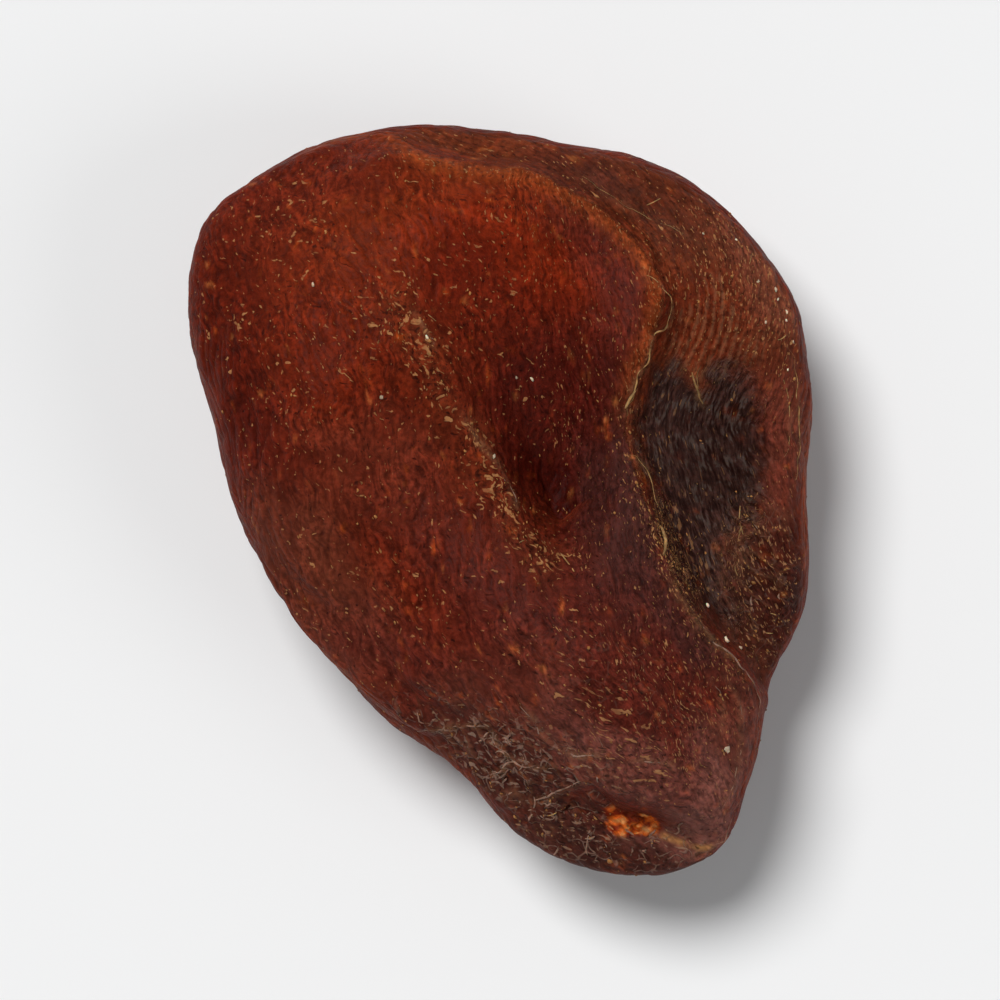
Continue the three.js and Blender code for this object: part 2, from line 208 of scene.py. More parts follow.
# Patches of colour on parts of the top: colour, amount, centre x and y, half sizes, turn in degrees
FRONT_PATCHES = [
    (BRICK, 0.9, -3.5, 16, 9, 6, 0), (MAROON, 0.5, -10.5, 17.5, 6, 2.6, 28),
    # The first patch here is painted shade on the left rim
    (LEFT_RIM_SHADE, 0.9, -15.8, 6, 3.4, 8.5, 0), (EMBER, 0.4, -4.2, 12.4, 3, 3.2, 0),
    (CLAY, 0.35, -7, 1.5, 5, 3.4, -10), (CLAY, 0.9, -9.8, -5, 3, 7, 30), (TAN, 0.5, -10.8, -3.2, 3, 5, 30),
    # These and the other plum patches carry a painted sheen
    (PLUM_SHEEN, 0.7, -4.6, -9.4, 5.5, 2.2, -40), (PLUM_SHEEN, 0.3, -14, -2, 3.6, 9, 25),
    (EMBER, 0.9, 0.8, 12.6, 5, 4.2, -20), (WINE, 0.6, 5.2, 15.6, 3.6, 1.7, -25),
    (MAROON, 0.35, -1.6, 11, 2.8, 3.2, 0), (PLUM_SHEEN, 0.8, 7, 8, 2.2, 8.5, 8), (MINK, 0.5, 5.8, 5.8, 1.6, 3, 0),
    (PLUM_SHEEN, 0.9, 5, -9, 10, 6.4, -32), (WINE, 0.6, -0.5, -3.6, 7.5, 3.4, -25),
    (WINE, 0.7, 4.4, -8.6, 4.8, 4.6, -35), (CLAY, 0.5, -1, -11.8, 3.6, 1.6, -30),
    (MAROON, 0.35, -12.8, 3.4, 2.6, 3.2, 0), (CLAY, 0.35, 1, -10.5, 4.5, 2.8, -30),
    (MINK, 0.9, 6.4, -0.6, 3.2, 6.2, 15), (MINK, 0.8, 10.4, -7.2, 3.4, 1.4, -48),
    (DUSK, 0.6, 7, -14.6, 4.2, 2.1, -20), (DUSK, 0.25, 3.2, -12, 2.6, 1.5, -30),
    (DUSK, 0.9, 12.4, -15.8, 2.6, 4.2, 0), (ASH, 0.9, *BAND), (ASH, 1, *LIP),
    (DUSK, 1, 10.4, -18.3, 3.2, 1.8, -15), (CLAY, 0.8, 13.2, -11.6, 1.1, 3.8, -8),
]
# Painted shade in the valley and its pit
VALLEY_SHADE_PATCHES = [(MAROON, 0.9, 3, 4.5, 5.2, 6, 14), (PIT_SHADE, 0.8, 2.6, 0.8, 1.6, 2.8, 25)]
SHELF_PATCHES = [(MINK, 0.7, 5.4, 1.6, 1.5, 2.6, 0)]
BACK_PATCHES = [
    (RUSSET, 0.4, 10.8, 10, 3, 3, 0), (UMBER, 0.3, 9, 16.4, 4.5, 1.8, -25),
    # The plum patch carries a painted sheen
    (MINK, 0.35, 4.6, 18.2, 3.4, 1.4, -12), (PLUM_SHEEN, 0.75, 15, -1, 3, 9, 0), (UMBER, 0.95, *LOWER_RIGHT),
    (MINK, 0.9, *STEP), (CLAY, 0.7, 15.6, 2.5, 1.5, 5.5, 0), (ASH, 0.5, 11.8, -6.6, 1.4, 1.6, -40),
    # The last patch here is painted shade by the right rim
    (FROST, 0.55, 14.8, 11.8, 2, 5, 38), (PIT_SHADE, 0.4, 15.8, -4.6, 1.8, 4, 0),
]

# The outline of the charred part in the hollow, anticlockwise
CHARRED = [
    (14.4, 5.2), (13.9, 7), (12.7, 7.7), (11.6, 7.3), (10.9, 6.4), (10.2, 7.4), (9.1, 7.8), (8.2, 6.6),
    (7.6, 4.6), (7.7, 2.4), (8.7, 0.2), (9.6, -2.2), (10.6, -4.6), (11.8, -7), (12.9, -6.6), (12.6, -4.8),
    (12.4, -3.2), (13, -1.6), (14.2, -0.3), (14.6, 2.4), (14.4, 5.2), (13.9, 7),
]

# Crumbs of dry flesh: how many, half the length of a middling one, and how unlike they are
FLAKES, FLAKE_SIZE, FLAKE_SPREAD = 1300, 0.062, 0.36

# Bigger grains: x, y, half length, how much longer than wide
GRAINS = [
    (12.6, -13.6, 0.19, 1), (-6.3, 5.4, 0.13, 1.1), (-10.4, 11.9, 0.2, 2.2), (1.1, 6.7, 0.1, 1.2),
    (1.9, 6.6, 0.16, 2), (11.5, -5.7, 0.15, 1.2), (12.6, -7.6, 0.22, 1.6), (13.4, -8, 0.15, 1.3),
    (-0.2, 2.6, 0.15, 1.8), (-3.9, 9, 0.17, 2), (14.4, 12, 0.12, 1.6), (15.2, 11.7, 0.15, 1.4),
    (15.5, 11.1, 0.12, 2), (15.9, 10.3, 0.13, 1.5), (14.7, 9.8, 0.1, 1.4), (16.3, 8.7, 0.11, 2),
    (16, 7.2, 0.09, 1.5), (15.9, 9.7, 0.09, 1.2), (13.1, 14.4, 0.1, 1.6), (11.2, 14.8, 0.09, 1.3),
]

# Fibres seen on the top: x, y, heading in degrees, length, bend in degrees a millimetre, radius
FIBRES = [
    (8.75, -1.4, -55, 1.8, -38, 0.1), (7.5, 6.1, -125, 1.4, 8, 0.09), (10.55, 7, -78, 1.5, 12, 0.06),
    (3.3, -2.9, -48, 1.3, -10, 0.045), (7.8, 16.1, 20, 1.3, 10, 0.035), (6, -1.2, -60, 1, 40, 0.035),
    (-9, 12.2, -60, 0.8, 20, 0.05),
]

# Fibres and threads spread by chance, and their sizes
LOOSE_FIBRES, WINDING_THREADS = 16, 45
FIBRE_RADIUS, STRAND_RADIUS, THREAD_RADIUS = 0.035, 0.065, 0.085
FIBRE_STEP, FIBRE_SIDES = 0.14, 5

# The setting, in metres
FLOOR_SIDE = 6
CAMERA_HEIGHT = 0.52
FRAME_WIDTH = 0.056

# The lights: the way they come from, how wide they are in radians, strength
LIGHTS = {"key": ((-0.36, 0.5, 0.95), 0.44, 2.8), "fill": ((0.8, -0.3, 0.6), 0.56, 0.55)}

# How bright the room is by the height of the way looked, from 0 for level to 1 for straight up
ROOM = [(0, 0.92), (0.8, 0.12), (0.16, 0.38)]


# ---- small mathematics


def smoothstep(low, high, value):
    """0 below low, 1 above high, and an even slope between them."""
    part = np.clip((value - low) / (high - low), 0, 1)
    return part * part * (3 - 2 * part)


def bell(distance, width):
    """1 at no distance, falling smoothly to nothing over about two widths."""
    return np.exp(-((distance / width) ** 2))


def unit(vectors):
    """Vectors scaled to a length of 1."""
    return vectors / np.maximum(np.linalg.norm(vectors, axis=1, keepdims=True), 1e-9)


def noise(points, size, seed):
    """Smooth random values from -1 to 1, with lumps about as wide as size."""
    scaled = points / size + 0.37 * seed
    cell = np.floor(scaled).astype(np.int64)
    part = scaled - cell
    part = part * part * (3 - 2 * part)
    total = np.zeros(len(points))
    for corner in range(8):
        step = np.array([corner & 1, corner >> 1 & 1, corner >> 2 & 1])
        mixed = ((cell + step) * [374761393, 668265263, 1442695041]).sum(1) + seed * 974634777
        mixed = (mixed ^ (mixed >> 13)) * 1274126177 & 0xFFFFFFFF
        value = (mixed >> 8 & 0xFFFF) / 32767.5 - 1
        total += value * np.prod(np.where(step, part, 1 - part), axis=1)
    return total


class Line:
    """A smooth line in plan through given stops, with values that change along it."""

    STEPS = 10
    POINTS_AT_ONCE = 20_000

    def __init__(self, stops):
        stops = np.array(stops, float)
        knots = np.vstack([2 * stops[0] - stops[1], stops, 2 * stops[-1] - stops[-2]])
        at = np.linspace(0, 1, self.STEPS, endpoint=False)[:, None]
        parts = []
        for a, b, c, d in zip(knots, knots[1:], knots[2:], knots[3:]):
            bend = (2 * a - 5 * b + 4 * c - d) * at**2 + (3 * (b - c) + d - a) * at**3
            parts.append(b + 0.5 * ((c - a) * at + bend))
        self.stops = np.vstack(parts + [stops[-1:]])

    def nearest(self, points):
        """For each point: its offset in plan from the line, its side (1 left of the run, -1 right),
        and the line's values at the nearest place."""
        start, run = self.stops[:-1], np.diff(self.stops, axis=0)
        length = (run[:, :2] ** 2).sum(1)
        offsets, sides, values = [], [], []
        for some in np.array_split(points[:, :2], max(1, len(points) // self.POINTS_AT_ONCE)):
            gap = some[:, None] - start[None, :, :2]
            along = np.clip((gap * run[:, :2]).sum(2) / length, 0, 1)
            gap = gap - along[..., None] * run[:, :2]
            best = (gap**2).sum(2).argmin(1)
            row = np.arange(len(some))
            offset, way = gap[row, best], run[best]
            offsets.append(offset)
            sides.append(np.sign(way[:, 0] * offset[:, 1] - way[:, 1] * offset[:, 0]))
            values.append(start[best, 2:] + along[row, best][:, None] * way[:, 2:])
        return np.vstack(offsets), np.concatenate(sides), np.vstack(values)

    def beside(self, points):
        """How far each point lies from the line in plan, more than 0 to the left of its run."""
        offset, side, _ = self.nearest(points)
        return np.linalg.norm(offset, axis=1) * side


def near_line(points, stops, reach):
    """The points within reach of a line in plan: which they are, how far off, and the line's values there."""
    corners = np.array([stop[:2] for stop in stops])
    inside = (points[:, :2] > corners.min(0) - reach) & (points[:, :2] < corners.max(0) + reach)
    which = np.flatnonzero(inside.all(1))
    offset, _, values = Line(stops).nearest(points[which])
    return which, np.linalg.norm(offset, axis=1), values


# ---- the skin's mesh


class Skin:
    """A closed mesh of triangles."""

    def __init__(self, points, faces):
        self.points = points
        self.faces = faces
        tails = faces.ravel()
        heads = np.roll(faces, -1, axis=1).ravel()
        self.heads = heads[np.argsort(tails, kind="stable")]
        self.valence = np.bincount(tails, minlength=len(points))
        self.starts = np.concatenate([[0], np.cumsum(self.valence)[:-1]])

    def around(self, values):
        """The mean of each point's neighbours."""
        return np.add.reduceat(values[self.heads], self.starts, axis=0) / self.valence[:, None]

    def normals(self):
        """The way out of the skin at each point."""
        a, b, c = self.points[self.faces].transpose(1, 0, 2)
        facing = np.cross(b - a, c - a)
        total = np.zeros_like(self.points)
        for axis in range(3):
            share = np.repeat(facing[:, axis], 3)
            total[:, axis] = np.bincount(self.faces.ravel(), share, len(self.points))
        return unit(total)

    def subdivided(self):
        """The skin with each triangle made four, by Loop's rule for smooth surfaces."""
        count = len(self.points)
        tails = self.faces.ravel()
        heads = np.roll(self.faces, -1, axis=1).ravel()
        across = np.roll(self.faces, -2, axis=1).ravel()
        keys = np.minimum(tails, heads) * count + np.maximum(tails, heads)
        _, first, which = np.unique(keys, return_index=True, return_inverse=True)
        middles = 0.375 * (self.points[tails[first]] + self.points[heads[first]])
        for axis in range(3):
            middles[:, axis] += 0.125 * np.bincount(which, self.points[across, axis], len(first))
        pull = np.where(self.valence == 3, 9 / 16, 3 / 8)[:, None]
        kept = (1 - pull) * self.points + pull * self.around(self.points)
        a, b, c = self.faces.T
        ab, bc, ca = (which + count).reshape(-1, 3).T
        quarters = [(a, ab, ca), (b, bc, ab), (c, ca, bc), (ab, bc, ca)]
        return Skin(np.vstack([kept, middles]), np.vstack([np.stack(q, 1) for q in quarters]))


def relaxed(skin):
    """The skin with its triangles evened out along the surface, which keeps its shape."""
    for _ in range(RELAXING_STEPS):
        normals = skin.normals()
        pull = 0.5 * (skin.around(skin.points) - skin.points)
        pull -= normals * (pull * normals).sum(1)[:, None]
        skin.points = skin.points + pull
    return skin


def places_of(mesh):
    """Where the points of a mesh lie, in millimetres."""
    places = np.empty(len(mesh.vertices) * 3)
    mesh.vertices.foreach_get("co", places)
    return places.reshape(-1, 3) / MM


def welded(mesh):
    """The skin of a triangle mesh, with corners that share a place made one."""
    places = places_of(mesh)
    corners = np.empty(len(mesh.loops), np.int64)
    mesh.loops.foreach_get("vertex_index", corners)
    keys = np.round(places / WELD).astype(np.int64)
    _, first, merged = np.unique(keys, axis=0, return_index=True, return_inverse=True)
    faces = merged.ravel()[corners].reshape(-1, 3)
    whole = (faces != np.roll(faces, 1, axis=1)).all(1)
    return Skin(places[first], faces[whole])


def rounded(skin):
    """The skin without the small ripples that its triangles leave on steep slopes."""
    flat = skin.points[:, 2] < WELD
    for _ in range(ROUNDING_STEPS):
        for pull in ROUNDING_PULLS:
            moved = skin.points + pull * (skin.around(skin.points) - skin.points)
            skin.points = np.where(flat[:, None], skin.points, moved)
    return skin


# ---- the way the skin dried


def flow(points, normals):
    """Two distances that wrinkles keep to, one for the top and one for the sides and underside, how
    far each point belongs to the top, and the way the wrinkles run there."""
    front, _, _ = Line(FRONT_SPINE).nearest(points)
    back, side, _ = Line(FRONT_EDGE).nearest(points)
    behind = side > 0
    offset = np.where(behind[:, None], back, front)
    above = np.linalg.norm(offset, axis=1)
    out = np.hypot(points[:, 0], points[:, 1])
    below = out + SIDE_SLOPE * points[:, 2]
    top = np.maximum(smoothstep(0.25, 0.6, normals[:, 2]), patch(points, *STEP))
    slope_above = np.column_stack([unit(offset), np.zeros(len(points))])
    outward = points[:, :2] / np.maximum(out, 0.1)[:, None]
    slope_below = np.column_stack([outward, np.full(len(out), SIDE_SLOPE)])
    slope = np.where(top[:, None] > 0.5, slope_above, slope_below)
    grain = unit(np.cross(normals, slope))
    turn = GRAIN_TURN * (noise(points, GRAIN_TURN_SIZE, 11) + 0.5 * noise(points, GRAIN_TURN_SIZE / 2.5, 12))
    grain = grain * np.cos(turn)[:, None] + np.cross(normals, grain) * np.sin(turn)[:, None]
    return above, below, top, grain, behind


def packets(points, normals, grain, pitch, run, rng):
    """Random ripples whose crests follow the grain, summed from small packets of waves. Their spread is 1."""
    width = 0.62 * pitch
    reach = 1.9 * max(run, width)
    count = int(PACKETS_OVER_EACH_OTHER * SKIN_AREA / (math.pi * run * width))
    picks = rng.integers(len(points), size=count)
    centre, along, out = points[picks], grain[picks].astype(np.float32), normals[picks].astype(np.float32)
    across = np.cross(out, along)
    phase = rng.uniform(0, 2 * math.pi, count).astype(np.float32)
    pitches = (pitch * rng.uniform(0.75, 1.35, count)).astype(np.float32)
    cells = np.floor(points / reach).astype(np.int64)
    homes = {}
    for index, home in enumerate(np.floor(centre / reach).astype(np.int64)):
        homes.setdefault(tuple(home), []).append(index)
    keys, group = np.unique(cells, axis=0, return_inverse=True)
    order = np.argsort(group.ravel(), kind="stable")
    bounds = np.cumsum(np.bincount(group.ravel()))[:-1]
    waves = np.zeros(len(points))
    for key, some in zip(keys, np.split(order, bounds)):
        near = [
            index
            for dx in (-1, 0, 1) for dy in (-1, 0, 1) for dz in (-1, 0, 1)
            for index in homes.get((key[0] + dx, key[1] + dy, key[2] + dz), ())
        ]
        gap = (points[some][:, None] - centre[near]).astype(np.float32)
        a = (gap * along[near]).sum(2) / run
        b = (gap * across[near]).sum(2)
        c = (gap * out[near]).sum(2) / width
        weight = np.exp(-(a * a) - (b / width) ** 2 - c * c)
        ripple = weight * np.cos(2 * math.pi * b / pitches[near] + phase[near])
        waves[some] = ripple.sum(1) / np.sqrt(0.5 * (weight**2).sum(1) + 1e-6)
    return waves


def creased(waves):
    """Waves turned into rounded ridges, up to 1, with narrow creases between them, down to -1."""
    ridges = np.sqrt(waves**2 + CREASE_WIDTH**2) - CREASE_WIDTH
    return np.tanh(1.1 * ridges) * 2 - 1


def threads(points):
    """How much each point belongs to a thread, from 0 to 1."""
    found = np.zeros(len(points))
    for stops in STRANDS + THREADS:
        which, distance, values = near_line(points, stops, 3 * THREAD_WIDTH)
        wander = 0.12 * noise(points[which], 0.7, 51)
        found[which] = np.maximum(found[which], values[:, 0] * bell(distance + wander, THREAD_WIDTH))
    return found


# ---- colour by region


def patch(points, x, y, half_x, half_y, turn):
    """How far each point lies in a soft-edged oval in plan, from 0 to 1."""
    turn = math.radians(turn)
    dx, dy = points[:, 0] - x, points[:, 1] - y
    u = (dx * math.cos(turn) + dy * math.sin(turn)) / half_x
    v = (dy * math.cos(turn) - dx * math.sin(turn)) / half_y
    return 1 - smoothstep(0.45, 1.35, np.hypot(u, v))


def wash(tint, colour, amount):
    """A tint with some of a colour mixed in at each point."""
    return tint + (np.array(colour) - tint) * amount[:, None]


# ---- making things in Blender


def placed(name, data):
    """A new object in the scene."""
    made = bpy.data.objects.new(name, data)
    bpy.context.scene.collection.objects.link(made)
    return made


def new_object(name, points, faces, material):
    """A smooth mesh object, from points in millimetres."""
    mesh = bpy.data.meshes.new(name)
    mesh.vertices.add(len(points))
    mesh.vertices.foreach_set("co", (points * MM).astype(np.float32).ravel())
    mesh.loops.add(faces.size)
    mesh.loops.foreach_set("vertex_index", faces.astype(np.int32).ravel())
    mesh.polygons.add(len(faces))
    mesh.polygons.foreach_set("loop_start", np.arange(0, faces.size, faces.shape[1], dtype=np.int32))
    mesh.update(calc_edges=True)
    mesh.shade_smooth()
    mesh.materials.append(material)
    return placed(name, mesh)


def store(mesh, name, values):
    """Keeps a number or a colour for the material at each point of a mesh."""
    kind, key = "FLOAT", "value"
    if values.ndim == 2:
        kind, key = "FLOAT_COLOR", "color"
        values = np.column_stack([values, np.ones(len(values))])
    mesh.attributes.new(name, kind, "POINT").data.foreach_set(key, values.astype(np.float32).ravel())


class Nodes:
    """The nodes of a material or a world, put together one at a time."""

    def __init__(self, owner):
        owner.use_nodes = True
        self.owner = owner
        self.tree = owner.node_tree

    def feed(self, sockets, values):
        """Sets sockets, or links outputs to them, by name or number."""
        for key, value in values.items():
            if isinstance(value, bpy.types.NodeSocket):
                self.tree.links.new(value, sockets[key])
            else:
                sockets[key].default_value = value

    def node(self, kind, inputs=(), **settings):
        """A node with its inputs and its settings."""
        made = self.tree.nodes.new("ShaderNode" + kind)
        for key, value in settings.items():
            setattr(made, key, value)
        self.feed(made.inputs, dict(inputs))
        return made

    def finished(self, **inputs):
        """The material, with the inputs of its surface (with _ for a space)."""
        surface = self.tree.nodes["Principled BSDF"].inputs
        self.feed(surface, {key.replace("_", " "): value for key, value in inputs.items()})
        return self.owner

    def math(self, operation, *values):
        """The result of a Math node."""
        return self.node("Math", enumerate(values), operation=operation).outputs[0]

    def times(self, first, second):
        """Two numbers multiplied."""
        return self.math("MULTIPLY", first, second)

    def sloped(self, value, slope, start):
        """A number that begins at start and grows by slope times a value."""
        return self.math("MULTIPLY_ADD", value, slope, start)

    def mix(self, factor, first, second, blend="MIX"):
        """Two colours mixed. A number counts as a grey."""
        inputs = {0: factor, 6: first, 7: second}
        return self.node("Mix", inputs, data_type="RGBA", blend_type=blend).outputs[2]

    def between(self, factor, first, second):
        """Two numbers mixed."""
        return self.node("Mix", {0: factor, 2: first, 3: second}, data_type="FLOAT").outputs[0]

    def ramp(self, value, low, high, start=0.0, end=1.0):
        """A value's range from low to high turned smoothly into start to end."""
        inputs = enumerate((value, low, high, start, end))
        return self.node("MapRange", inputs, interpolation_type="SMOOTHSTEP").outputs[0]

    def added(self, first, second):
        """Two vectors added."""
        return self.node("VectorMath", {0: first, 1: second}, operation="ADD").outputs[0]

    def scaled(self, vector, scale):
        """A vector made longer."""
        return self.node("VectorMath", {"Vector": vector, "Scale": scale}, operation="SCALE").outputs[0]

    @functools.cached_property
    def place(self):
        """The place on the object, in millimetres."""
        return self.scaled(self.node("TexCoord").outputs["Object"], 1 / MM)

    def noise(self, scale, detail, place=None):
        """Cloudy noise with that many lumps a millimetre, from 0 to 1."""
        inputs = {"Vector": place or self.place, "Scale": scale, "Detail": detail, "Roughness": 0.6}
        return self.node("TexNoise", inputs).outputs[0]

    def attribute(self, name, output="Fac"):
        """A value kept in the mesh."""
        return self.node("Attribute", attribute_name=name).outputs[output]


class Flesh(Nodes):
    """The marks of dried flesh, each from 0 to 1."""

    def __init__(self, owner):
        super().__init__(owner)
        self.dust, self.charred, self.crumple = map(self.attribute, ("dust", "charred", "crumple"))
        swing = self.sloped(self.attribute("behind"), -0.8, 1.2)
        self.wander = self.times(self.math("SUBTRACT", self.noise(0.6, 1.0), 0.5), swing)
        self.streak = self.lines(STREAK_SPACING, self.sloped(self.charred, -0.2, 1.0), 0.0, 2.0)
        self.flake = self.lines(FLAKE_SPACING, self.sloped(self.charred, 0.5, 0.36), 7.3, 1.0)
        self.grain = self.noise(GRAIN_LUMPS, 3.0)
        self.cloud = self.noise(CLOUD_LUMPS, 3.0)

    def lines(self, spacing, length, shift, detail):
        """Fine lines at a constant distance from where the skin dried to."""
        found = []
        for across in ("below", "above"):
            crosswise = self.math("DIVIDE", self.math("ADD", self.attribute(across), self.wander), spacing)
            crosswise = self.node("CombineXYZ", {"X": self.math("ADD", crosswise, shift)}).outputs[0]
            lengthwise = self.scaled(self.place, self.math("DIVIDE", 1.0, length))
            found.append(self.noise(1.0, detail, self.added(crosswise, lengthwise)))
        return self.between(self.attribute("top"), *found)

    def bare(self):
        """The flesh's colour: mottled, lined and grainy, with painted shade in the creases and lighter
        ridges.
        """
        tint = self.attribute("tint", "Color")
        deeper = self.mix(1.0, tint, DEEPENING, "MULTIPLY")
        mottle = self.ramp(self.noise(MOTTLE_LUMPS, 3.0), 0.38, 0.66, 0.0, 0.34)
        lined = self.ramp(self.streak, 0.3, 0.7, -0.36, 0.56)
        lined = self.sloped(lined, self.sloped(self.charred, 0.5, 1.0), 1.0)
        grainy = self.ramp(self.grain, 0.28, 0.72, -0.34, 0.52)
        grainy = self.sloped(grainy, self.sloped(self.dust, 0.7, 0.9), 1.0)
        plain = self.ramp(self.noise(PLAIN_LUMPS, 2.0), 0.35, 0.65, 0.0, 0.5)
        light = self.between(plain, self.times(lined, grainy), 1.0)
        # Painted shade: darker in the creases of the wrinkles, lighter on their ridges
        light = self.times(light, self.ramp(self.attribute("relief"), -1.0, 1.0, 0.86, 1.12))
        return self.mix(1.0, self.mix(mottle, tint, deeper), light, "MULTIPLY")

    def silver_highlights(self):
        """Painted highlights: silvery glints along the streaks in the charred hollow."""
        streaks = self.times(self.charred, self.ramp(self.streak, 0.44, 0.64))
        return self.times(streaks, self.ramp(self.cloud, 0.44, 0.6, 0.1, 1.0))

    def flecks_and_glints(self):
        """Pale flecks, most of them where the flesh is dusty: partly dust and crystals, partly painted
        glints.
        """
        limit = self.sloped(self.dust, -0.18, 0.71)
        fleck_and_glint = self.ramp(self.math("SUBTRACT", self.flake, limit), 0.0, 0.05)
        fleck_and_glint = self.times(fleck_and_glint, self.ramp(self.cloud, 0.36, 0.62, 0.45, 1.0))
        return self.times(fleck_and_glint, self.sloped(self.charred, -0.6, 1.0))

    def pocks(self):
        """Dark pits between the flecks."""
        depth = self.sloped(self.dust, -0.13, self.sloped(self.charred, -0.08, self.flake))
        return self.ramp(depth, 0.3, 0.22)

    def threads(self):
        """Fine raised lines, broken by the grain."""
        return self.times(self.attribute("thread"), self.ramp(self.grain, 0.36, 0.52, 0.3, 1.0))

    def crinkles(self):
        """Thin crooked lines of the crumpled parts, broken here and there."""
        bends = self.node("TexNoise", {"Vector": self.place, "Scale": 1.2, "Detail": 0.0}).outputs["Color"]
        bent = self.added(self.place, self.scaled(bends, CRINKLE_BEND))
        cells = self.node("TexVoronoi", {"Vector": bent, "Scale": 1.0}, feature="DISTANCE_TO_EDGE")
        crinkle = self.ramp(cells.outputs["Distance"], 0.07, 0.02)
        crinkle = self.times(crinkle, self.ramp(self.noise(1.3, 2.0), 0.45, 0.56))
        return self.times(crinkle, self.crumple)


def flesh_material():
    """Dried apricot flesh: deep red-brown, a little see-through, satin where bare and dull where dusty."""
    shader = Flesh(bpy.data.materials.new("dried_flesh_skin"))
    fleck_and_glint, pock, crinkle = shader.flecks_and_glints(), shader.pocks(), shader.crinkles()
    pale = shader.mix(shader.crumple, FLECK_AND_GLINT_GOLD, FLECK_AND_GLINT_PINK)
    marks = [
        (shader.silver_highlights(), 0.65, SILVER_HIGHLIGHT), (fleck_and_glint, 0.8, pale), (pock, 0.65, POCK_DARK),
        (shader.threads(), 0.4, THREAD_TAN), (crinkle, 0.65, CRINKLE_PALE),
    ]
    colour = shader.bare()
    for mark, strength, paint in marks:
        colour = shader.mix(shader.times(mark, strength), colour, paint)
    height = shader.sloped(shader.streak, 0.8, shader.times(shader.grain, 0.6))
    height = shader.math("ADD", height, shader.times(shader.math("SUBTRACT", fleck_and_glint, pock), 0.35))
    height = shader.sloped(crinkle, 1.2, height)
    bump = shader.node("Bump", {"Strength": 0.7, "Distance": BUMP_DEPTH * MM, "Height": height})
    dull = shader.math("ADD", shader.grain, shader.times(shader.dust, 0.4))
    return shader.finished(
        Base_Color=colour, Roughness=shader.ramp(dull, 0.3, 1.0, 0.38, 0.65), Normal=bump.outputs[0],
        IOR=1.42, Specular_IOR_Level=0.04,
        Subsurface_Weight=0.2, Subsurface_Radius=(1.0, 0.2, 0.07), Subsurface_Scale=0.6 * MM,
    )


def plain_material(name, colour, roughness, see_through):
    """Something small and pale, with a little light passing into it and a cloudy colour."""
    shader = Nodes(bpy.data.materials.new(name))
    cloud = shader.noise(1.6, 2.0)
    darker = tuple(0.4 * part for part in colour) + (1,)
    return shader.finished(
        Base_Color=shader.mix(shader.ramp(cloud, 0.35, 0.65), darker, (*colour, 1)),
        Roughness=shader.ramp(cloud, 0.3, 0.7, roughness, roughness + 0.2), Specular_IOR_Level=0.1,
        Subsurface_Weight=see_through, Subsurface_Scale=0.2 * MM,
    )


# ---- the fruit


def folded(skin):
    """The skin with its lip laid over, its creases cut, its curl raised and its torn spot opened."""
    points = skin.points
    up = smoothstep(0.0, 0.3, skin.normals()[:, 2])
    high = smoothstep(1.5, 4.0, points[:, 2]) * (up > 0)
    offset, side, values = Line(FRONT_EDGE).nearest(points)
    distance = np.linalg.norm(offset, axis=1) * side
    toward_back = unit(offset) * side[:, None]
    push = values[:, 0] * bell(distance + 0.35, LIP_WIDTH) * high
    moved = points.copy()
    moved[:, :2] += toward_back * push[:, None]
    moved[:, 2] -= values[:, 1] * bell(distance - 0.45, GROOVE_WIDTH) * high
    for stops in CREASES:
        which, distance, values = near_line(points, stops, 2.5)
        depth, width = values[:, 0], values[:, 1].clip(0.05)
        cut = depth * np.exp(-distance / width)
        lift = 0.35 * depth * bell(distance - 2.2 * width, 2 * width)
        moved[which, 2] -= (cut - lift) * high[which]
    *oval, height = CURL
    moved[:, 2] += height * patch(points, *oval) ** 1.5 * high
    torn = patch(points, *TORN) * high
    lumps = noise(points, TORN_LUMP_SIZE, 21) + 0.5 * noise(points, TORN_LUMP_SIZE / 2, 24)
    moved[:, 2] += torn * (TORN_LUMP * lumps - TORN_DEPTH)
    skin.points = moved
    return skin


def shoulder_arcs(points, above, part):
    """Fine arcs side by side on one part of the top, from -1 to 1."""
    wander = 0.3 * noise(points, 2.5, 41) + 0.12 * noise(points, 0.8, 43)
    share = part * smoothstep(-0.5, 0.2, noise(points, 1.8, 42))
    return np.cos(2 * np.pi * (above + wander) / ARC_PITCH) * share


